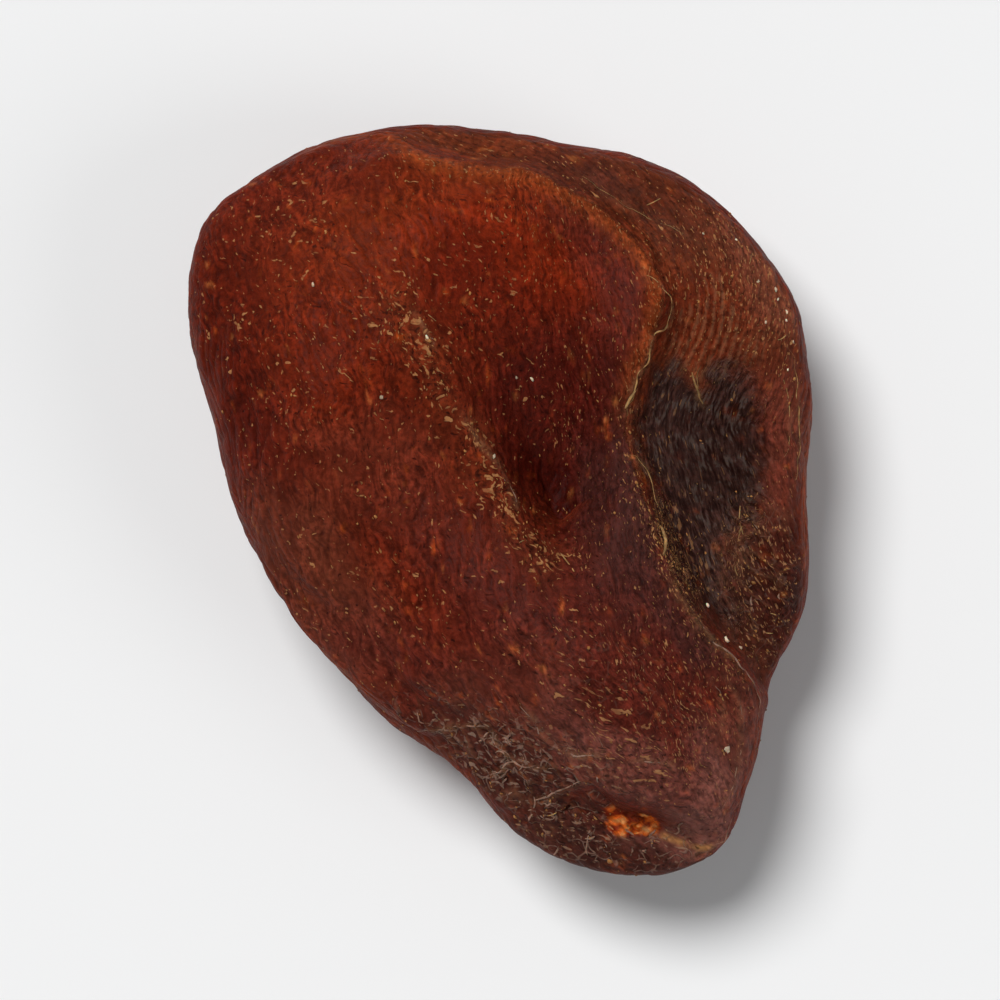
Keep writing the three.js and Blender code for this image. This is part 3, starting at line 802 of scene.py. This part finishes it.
def shaped_skin(rng):
    """The wrinkled skin, and at each point the values that its colours need."""
    skin = rounded(welded(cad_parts["apricot"].data))
    for _ in range(SUBDIVISIONS):
        skin = skin.subdivided()
    skin = relaxed(folded(relaxed(skin)))
    points, normals = skin.points, skin.normals()
    above, below, top, grain, behind = flow(points, normals)
    folds, fine, crumples = [
        packets(points, normals, grain, 2 * pitch, run, rng)
        for pitch, run in ((FOLD_PITCH, FOLD_RUN), (WRINKLE_PITCH, WRINKLE_RUN), (CRUMPLE_PITCH, CRUMPLE_RUN))
    ]
    folds, fine = creased(folds), creased(fine)
    ovals = (LOBE, BAND, SHOULDER, LOWER_RIGHT)
    lobe, band, shoulder, crumbly = (patch(points, *oval) * top for oval in ovals)
    crumpled = np.maximum(band, 0.7 * crumbly) * bell(crumples, CRUMPLE_WIDTH)
    arcs = shoulder_arcs(points, above, shoulder * behind)
    thread = threads(points) * top
    swell = noise(points, SWELL_SIZE, 31) + 0.6 * noise(points, SWELL_SIZE / 2, 32)
    rise = FOLD_DEPTH * (1 - 0.6 * lobe) * folds + CRUMPLE_DEPTH * crumpled + ARC_DEPTH * arcs
    rise += WRINKLE_DEPTH * (1 + 0.4 * crumbly) * fine + SWELL_DEPTH * swell + THREAD_HEIGHT * thread
    skin.points = np.maximum(points + normals * rise[:, None], LOWEST)
    relief = np.clip(0.7 * fine + 0.3 * folds + crumpled, -1, 1)
    thread = np.max([thread, 0.5 * crumpled, 0.75 * smoothstep(0.3, 0.9, arcs)], axis=0)
    return skin, dict(
        above=above, below=below, top=top, behind=behind, relief=relief, thread=thread, out=normals,
        grain=grain,
    )


def side_tint(points, warped, top):
    """The tint of the sides and the underside, and what the top's colours are laid on."""
    side = 1 - top
    # The sides are washed with plum, whose pinkish sheen is painted
    tint = wash(np.tile(RUSSET, (len(points), 1)), PLUM_SHEEN, 0.6 * side)
    tint = wash(tint, AMBER, 0.3 * smoothstep(0.1, 0.9, noise(points, 6.0, 4)) * side)
    return wash(tint, UMBER, 0.8 * patch(warped, *LIP) * side)


def charring(points, back):
    """How charred each point of the back mass is, with a frayed outline."""
    frayed = points[:, :2] + np.column_stack([0.35 * noise(points, 0.5, 6), 0.8 * noise(points, 0.6, 7)])
    return smoothstep(-0.7, 0.9, Line(CHARRED).beside(frayed)) * back


def with_edge(tint, points, edge, front, back):
    """A tint with the colours along the front mass's edge, at that distance from it: a pale line on the edge,
    partly dust and partly a painted highlight, and painted shade in the groove under the lip.
    """
    upper = smoothstep(3.0, 8.0, points[:, 1])
    # A pale line along the edge: partly dust, partly a painted highlight
    tint = wash(tint, TAN, 0.6 * bell(edge, 0.7) * front * upper)
    tint = wash(tint, ASH, 0.6 * bell(edge, 0.9) * front * (1 - upper))
    tint = wash(tint, AMBER, 0.3 * bell(edge - 0.3, 0.6) * front * upper)
    # Painted shade in the groove under the lip
    return wash(tint, NEAR_BLACK, 0.5 * bell(edge - 0.45, 0.35) * back * (1 - upper))


def with_torn_spot(tint, points, torn, top):
    """A tint with the torn spot's orange and golden specks, and the thin tear beside it."""
    specks = noise(points, 0.45, 22) + 0.5 * noise(points, 0.25, 26)
    tint = wash(tint, EMBER, torn)
    tint = wash(tint, ORANGE, torn * smoothstep(-0.25, 0.25, specks))
    tint = wash(tint, GOLD, 0.8 * torn * smoothstep(0.35, 0.7, specks))
    tear = bell(Line(TEAR).beside(points), 0.16) * smoothstep(-0.5, 0.3, noise(points, 0.6, 23))
    return wash(tint, GOLD, 0.7 * tear * top)


def coloured(points, values):
    """The flesh's tint, how dusty it is, how charred and how crumpled, at each point."""
    warped = points + np.column_stack([noise(points, 2.4, 1), noise(points, 2.4, 2), np.zeros(len(points))])
    top = values["top"]
    front, back = top * ~values["behind"], top * values["behind"]
    past_crest = Line(CREST).beside(warped)
    crest = bell(np.abs(past_crest) + 0.35 * np.sign(past_crest), 1.3)
    edge = np.abs(Line(FRONT_EDGE).beside(points))
    valley = smoothstep(-0.4, 0.5, past_crest) * front
    charred = charring(points, back)
    torn = patch(points + 0.6 * (warped - points), *TORN) * top
    torn = smoothstep(0.1, 0.5, torn + 0.25 * noise(points, 0.5, 25))

    tint = wash(side_tint(points, warped, top), TAN, 0.9 * back)
    parts = (FRONT_PATCHES, front), (VALLEY_SHADE_PATCHES, valley), (SHELF_PATCHES, front), (BACK_PATCHES, back)
    for patches, part in parts:
        for colour, amount, *oval in patches:
            tint = wash(tint, colour, amount * patch(warped, *oval) * part)
    tint = wash(tint, CHARCOAL, charred)
    # Darker in the middle of the hollow
    tint = wash(tint, NEAR_BLACK, 0.55 * patch(warped, *HOLLOW_CORE) * charred)
    tint = with_edge(tint, points, edge, front, back)
    tint = wash(tint, TAN, 0.5 * crest * front)
    tint = with_torn_spot(tint, points, torn, top)

    dust = 0.14 + 0.2 * noise(points, 3.0, 5)
    dust += 0.65 * crest * top + 0.3 * bell(edge, 0.8) * top
    for amount, oval in DUSTY:
        dust += amount * patch(points, *oval) * top
    crumple = np.max([amount * patch(points, *oval) for amount, oval in CRUMPLED], axis=0)
    return tint, np.clip(dust * (1 - torn), 0, 1), charred, crumple * top * (1 - torn)


def nearest_indices(known, points):
    """For each point, the index of the nearest known one."""
    tree = KDTree(len(known))
    for index, place in enumerate(known):
        tree.insert(place, index)
    tree.balance()
    return np.array([tree.find(point)[1] for point in points])


def thinned(fruit, share):
    """Leaves that share of an object's triangles and nothing under the floor. Gives the points left."""
    fruit.modifiers.new("thin", "DECIMATE").ratio = share
    seen, old = fruit.evaluated_get(bpy.context.evaluated_depsgraph_get()), fruit.data
    fruit.data = bpy.data.meshes.new_from_object(seen)
    fruit.data.name = old.name
    fruit.modifiers.clear()
    bpy.data.meshes.remove(old)
    kept = np.maximum(places_of(fruit.data), LOWEST)
    fruit.data.vertices.foreach_set("co", (kept * MM).astype(np.float32).ravel())
    return kept


def make_skin(rng):
    """The fruit's skin as an object, in place of the plain solid. Also gives its points and values."""
    skin, values = shaped_skin(rng)
    fruit = new_object("apricot_skin", skin.points, skin.faces, flesh_material())
    points = thinned(fruit, SKIN_TRIANGLES / len(skin.faces))
    source = nearest_indices(skin.points, points)
    values = {name: value[source] for name, value in values.items()}
    tint, values["dust"], values["charred"], values["crumple"] = coloured(points, values)
    store(fruit.data, "tint", tint)
    for name in ("above", "below", "top", "behind", "relief", "thread", "dust", "charred", "crumple"):
        store(fruit.data, name, values[name])
    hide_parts("apricot")
    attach(fruit, "root")
    return points, values


# ---- dust and fibres


def pebble():
    """A round form of 18 points and 32 triangles, of radius 1."""
    points = [(1, 0, 0), (-1, 0, 0), (0, 1, 0), (0, -1, 0), (0, 0, 1), (0, 0, -1)]
    faces = np.array([(0, 2, 4), (2, 1, 4), (1, 3, 4), (3, 0, 4), (2, 0, 5), (1, 2, 5), (3, 1, 5), (0, 3, 5)])
    ball = Skin(np.array(points, float), faces).subdivided()
    return unit(ball.points), ball.faces


def chips(centres, normals, grain, sizes, stretch, rng):
    """Small uneven chips that lie on the skin, as one mesh. Stretch is their length over their width."""
    form, faces = pebble()
    count = len(centres)
    turn = rng.uniform(-0.6, 0.6, count)[:, None]
    side = np.cross(normals, grain)
    along = grain * np.cos(turn) + side * np.sin(turn)
    across = np.cross(normals, along)
    frames = np.stack([along, across, normals], 1)
    scale = np.column_stack([sizes, sizes / stretch, 0.8 * sizes / stretch])
    shape = form * rng.uniform(0.7, 1.2, (count, len(form), 1))
    shape += rng.uniform(-0.12, 0.12, (count, len(form), 3))
    shape[:, :, 1] += rng.uniform(-0.9, 0.9, (count, 1)) * (shape[:, :, 0] ** 2 - 0.4)
    points = np.einsum("nki,nij->nkj", shape * scale[:, None], frames)
    points += (centres + normals * (0.25 * scale[:, 2:]))[:, None]
    faces = faces + len(form) * np.arange(count)[:, None, None]
    return points.reshape(-1, 3), faces.reshape(-1, 3)


def add_piece(name, points, faces):
    """A small piece of its own that lies on the fruit and moves with it."""
    piece = new_object(name, np.maximum(points, LOWEST), faces, plain_material(*LOOKS[name]))
    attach(piece, "root")


def drawn(count, chance, rng):
    """The indices of that many different points, drawn by their chance."""
    return rng.choice(len(chance), count, replace=False, p=chance / chance.sum())


def seen_from_above(points, x, y):
    """The index of the highest skin point near a place in plan."""
    near = np.hypot(points[:, 0] - x, points[:, 1] - y) < 0.25
    return np.flatnonzero(near)[points[near, 2].argmax()]


def make_dust(points, values, rng):
    """Pale dust on the skin, thickest on ridges and in the dusty parts, and the few bigger grains."""
    chance = (0.08 + values["dust"] ** 2) * (0.4 + np.clip(values["relief"], 0, 1))
    chance *= (0.35 + 0.65 * values["top"]) * (1 - 0.6 * values["crumple"])
    flakes = drawn(FLAKES, chance, rng)
    sizes = FLAKE_SIZE * np.exp(FLAKE_SPREAD * rng.standard_normal(FLAKES)).clip(0.4, 2.6)
    stretch = rng.uniform(1.2, 3.2, FLAKES)
    grains = np.array([seen_from_above(points, x, y) for x, y, _, _ in GRAINS])
    pieces = [("pale_dust", flakes, sizes, stretch), ("sugar_grains", grains, *np.array(GRAINS)[:, 2:].T)]
    for name, picks, sizes, stretch in pieces:
        made = chips(points[picks], values["out"][picks], values["grain"][picks], sizes, stretch, rng)
        add_piece(name, *made)


def height_at(points, x, y):
    """How high the skin lies at a place in plan, or -1 where there is none."""
    near = np.hypot(points[:, 0] - x, points[:, 1] - y) < 0.2
    heights = points[near, 2]
    return heights[heights > heights.max() - 0.3].mean() if near.sum() > 3 else -1.0


def walked(x, y, heading, length, bends, radius):
    """A winding line in plan as x, y, radius. It turns by one bend or by many, in degrees a millimetre."""
    bends = np.atleast_1d(bends)
    line = [(x, y, radius)]
    for step in range(max(3, int(length / FIBRE_STEP))):
        x += FIBRE_STEP * math.cos(math.radians(heading))
        y += FIBRE_STEP * math.sin(math.radians(heading))
        heading += bends[step % len(bends)] * FIBRE_STEP
        line.append((x, y, radius))
    return np.array(line)


def laid(points, line, rise):
    """A line of x, y, radius laid on the skin as x, y, z, radius. Its steps off the skin are left out."""
    heights = np.array([height_at(points, x, y) for x, y, _ in line])
    line, heights = line[heights > 0], heights[heights > 0]
    heights[1:-1] = (heights[:-2] + heights[1:-1] + heights[2:]) / 3
    return np.column_stack([line[:, :2], heights + rise, line[:, 2]])


def tube(path, radius):
    """A thin tube along a path, which narrows to a point at both ends."""
    run = unit(np.gradient(path, axis=0))
    side = unit(np.cross(run, (0, 0, 1)))
    lift = np.cross(side, run)
    steps = len(path) - 1
    taper = radius * np.sin(np.pi * (0.08 + 0.84 * np.arange(steps + 1) / steps)) ** 0.5
    angles = 2 * np.pi * np.arange(FIBRE_SIDES) / FIBRE_SIDES
    ring = side[:, None] * np.cos(angles)[:, None] + lift[:, None] * np.sin(angles)[:, None]
    rings = path[:, None] + ring * taper[:, None, None]
    here = np.arange(FIBRE_SIDES)
    after = (here + 1) % FIBRE_SIDES
    rows = FIBRE_SIDES * np.arange(steps)[:, None]
    a, b = (rows + here).ravel(), (rows + after).ravel()
    last = steps * FIBRE_SIDES
    tip = np.full(FIBRE_SIDES, last + FIBRE_SIDES)
    sides = [(a, b, b + FIBRE_SIDES), (a, b + FIBRE_SIDES, a + FIBRE_SIDES)]
    caps = [(after, here, tip), (last + here, last + after, tip + 1)]
    faces = np.vstack([np.stack(corners, 1) for corners in sides + caps])
    return np.vstack([rings.reshape(-1, 3), path[:1], path[-1:]]), faces


def tubes(points, lines, rise):
    """Tubes laid on the skin along lines of x, y, radius, as one mesh."""
    paths = [laid(points, line, rise) for line in lines]
    pieces = [tube(path[:, :3], path[:, 3]) for path in paths if len(path) > 3]
    shifts = np.cumsum([0] + [len(points) for points, _ in pieces[:-1]])
    faces = [faces + shift for (_, faces), shift in zip(pieces, shifts)]
    return np.vstack([points for points, _ in pieces]), np.vstack(faces)


def strand(stops, radius):
    """A line through given stops as x, y, radius, a little uneven."""
    line = Line(stops).stops
    wander = np.column_stack([noise(line, 0.7, 51), noise(line, 0.7, 52)])
    strength = line[:, 2] * (0.75 + 0.6 * noise(line, 0.6, 53))
    return np.column_stack([line[:, :2] + 0.18 * wander, radius * strength.clip(0.1, 1)])


def make_fibres(points, dust, rng):
    """Golden strands and short pale fibres of dried flesh that lie on the skin and curl a little."""
    lines = [walked(*fibre) for fibre in FIBRES]
    for x, y, _ in points[drawn(LOOSE_FIBRES, dust**3, rng)]:
        heading, length, bend = rng.uniform(0, 360), rng.uniform(0.3, 0.75), rng.uniform(-120, 120)
        lines.append(walked(x, y, heading, length, bend, FIBRE_RADIUS))
    lines += [strand(stops, STRAND_RADIUS) for stops in STRANDS]
    add_piece("pale_fibres", *tubes(points, lines, 0.4 * FIBRE_RADIUS))


def make_threads(points, crumple, rng):
    """Pale threads sunk in the skin: those seen on the top, and winding ones in the crumpled parts."""
    lines = [strand(stops, THREAD_RADIUS) for stops in THREADS]
    for x, y, _ in points[drawn(WINDING_THREADS, crumple**2, rng)]:
        bends = np.repeat(rng.normal(0, 160, 8), 3)
        radius = THREAD_RADIUS * rng.uniform(0.5, 0.95)
        lines.append(walked(x, y, rng.uniform(0, 360), rng.uniform(0.3, 1.2), bends, radius))
    add_piece("pale_threads", *tubes(points, lines, -0.55 * THREAD_RADIUS))


# ---- the setting


def make_floor():
    """A plain pale floor that the fruit lies on."""
    shader = Nodes(bpy.data.materials.new("pale_floor"))
    pale = shader.finished(Base_Color=(0.86, 0.86, 0.86, 1), Roughness=0.9, Specular_IOR_Level=0.1)
    corners = FLOOR_SIDE / 2 / MM * np.array([(-1, -1, 0), (1, -1, 0), (1, 1, 0), (-1, 1, 0)])
    new_object("floor", corners, np.array([[0, 1, 2, 3]]), pale)


def make_light(name, place, width, strength):
    """A big far-off soft light in the direction of a place, as wide as that many radians."""
    lamp = bpy.data.lights.new(name, "SUN")
    lamp.angle, lamp.energy = width, strength
    made = placed(name, lamp)
    made.location = place
    made.rotation_mode = "QUATERNION"
    made.rotation_quaternion = (-Vector(place)).to_track_quat("-Z", "Y")


def make_world():
    """Pale all round and dark overhead, as in a room with light walls."""
    world = bpy.data.worlds.new("studio")
    bpy.context.scene.world = world
    shader = Nodes(world)
    way = shader.node("TexCoord").outputs["Generated"]
    strength = shader.node("ValToRGB", {0: shader.node("SeparateXYZ", {0: way}).outputs["Z"]})
    stops = strength.color_ramp.elements
    for index, (height, level) in enumerate(ROOM):
        stop = stops[index] if index < 2 else stops.new(height)
        stop.position, stop.color = height, (level, level, level, 1)
    background = shader.tree.nodes["Background"].inputs
    shader.feed(background, {"Strength": strength.outputs[0], "Color": (0.96, 0.98, 1.0, 1)})


def make_camera():
    """A camera straight above the fruit, whose picture has +Y at the top."""
    lens = bpy.data.cameras.new("camera")
    lens.sensor_width = 36
    lens.lens = lens.sensor_width * CAMERA_HEIGHT / FRAME_WIDTH
    lens.clip_end = 20
    camera = placed("camera", lens)
    camera.location = (0, 0, CAMERA_HEIGHT)
    bpy.context.scene.camera = camera


rng = np.random.default_rng(SEED)
make_camera()
make_floor()
make_world()
for light, (place, width, strength) in LIGHTS.items():
    make_light(light, place, width, strength)
bpy.context.scene.view_settings.view_transform = "Standard"
skin_points, skin_values = make_skin(rng)
make_dust(skin_points, skin_values, rng)
facing_up = skin_values["out"][:, 2]
seen = facing_up > 0.3
nearly_level = facing_up[seen] > 0.75
make_fibres(skin_points[seen], skin_values["dust"][seen] * nearly_level, rng)
make_threads(skin_points[seen], skin_values["crumple"][seen] * nearly_level, rng)
